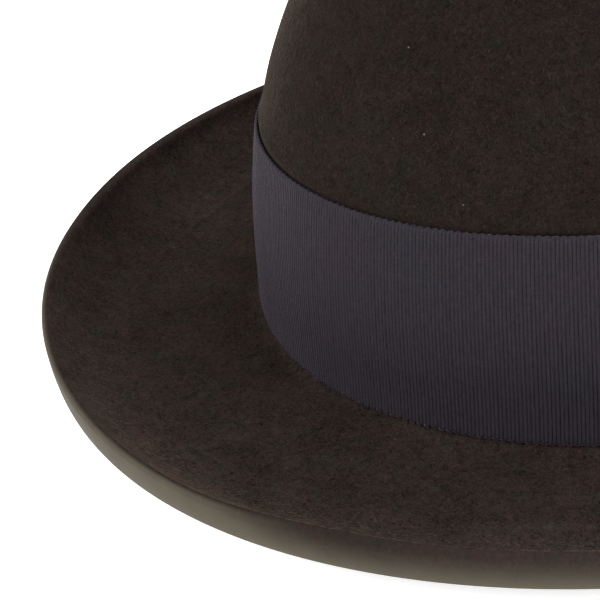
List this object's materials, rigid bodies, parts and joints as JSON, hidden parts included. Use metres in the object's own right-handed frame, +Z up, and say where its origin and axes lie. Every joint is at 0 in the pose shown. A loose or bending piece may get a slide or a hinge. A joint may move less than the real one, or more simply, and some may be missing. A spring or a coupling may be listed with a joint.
{
  "type": "bowler hat",
  "caption": "Stiff felt bowler hat with a domed crown, an upcurled rounded brim, a wide ribbed ribbon with a flat side bow, a leather sweatband and a satin lining.",
  "frame": {"origin": "middle of the brim's footprint, on the brim's flat underside", "axes": "+Z up through the crown, -Y towards the wearer's front, +X towards the wearer's left, where the bow is"},
  "size_m": [0.2702, 0.322, 0.1298],
  "materials": {
    "felt": "dense velour fur felt, matt with a soft sheen",
    "grosgrain": "ribbed dark purple-grey grosgrain ribbon",
    "dark_thread": "dark sewing thread",
    "light_thread": "tan waxed sewing thread",
    "leather": "smooth brown roan leather",
    "reed": "leather-covered piping",
    "satin": "bronze satin",
    "satin_piping": "satin piping",
    "satin_bow": "narrow dark satin ribbon",
    "steel": "drawn spring wire",
    "joiner_metal": "plain tube",
    "card": "blank card"
  },
  "bodies": {
    "root": {"felt_body": "felt", "brim_wire": "steel", "wire_joiner": "joiner_metal", "ribbon_band": "grosgrain", "bow_tails": "grosgrain", "bow_loops": "grosgrain", "bow_knot": "grosgrain", "band_tacks": "dark_thread", "bow_tacks": "dark_thread", "sweatband": "leather", "sweatband_reed": "reed", "sweatband_stitching": "light_thread", "sweatband_seam": "light_thread", "sweatband_bow": "satin_bow", "lining_side": "satin", "lining_tip": "satin", "lining_piping": "satin_piping", "size_label": "card"}
  },
  "joints": []
}
